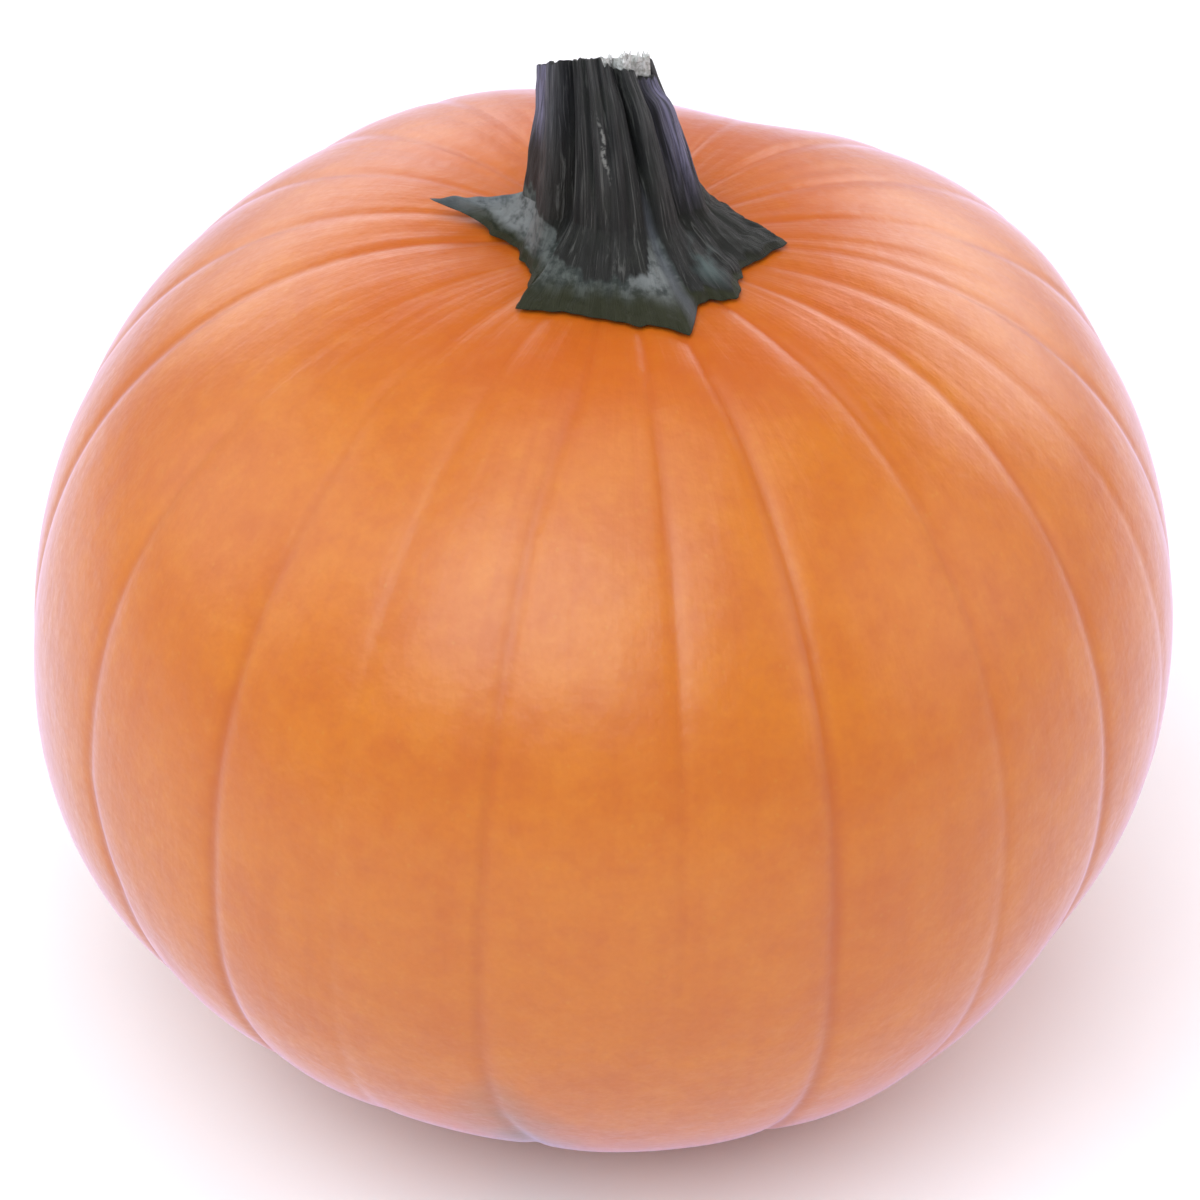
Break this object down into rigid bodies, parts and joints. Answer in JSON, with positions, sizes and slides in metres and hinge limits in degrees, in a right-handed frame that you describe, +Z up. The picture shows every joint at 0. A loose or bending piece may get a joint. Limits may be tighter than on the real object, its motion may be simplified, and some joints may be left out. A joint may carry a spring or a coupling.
{
  "type": "pumpkin",
  "caption": "Whole ripe orange pumpkin with shallow ribs, a hollow crown and a dry cut stem on a flared, pointed base, resting on its flattened blossom end.",
  "frame": {"origin": "on the ground under the middle of the pumpkin's box", "axes": "+Z up through the stem, -Y towards the front, +X to the right as seen from the front; the fruit's own axis leans 1.9 degrees towards +X"},
  "size_m": [0.2808, 0.2798, 0.2712],
  "materials": {
    "rind": "waxy satin pumpkin rind",
    "stem_cork": "dry dark corky stem with a pale pith"
  },
  "bodies": {
    "root": {"pumpkin_body": "rind", "stem": "stem_cork"}
  },
  "joints": []
}
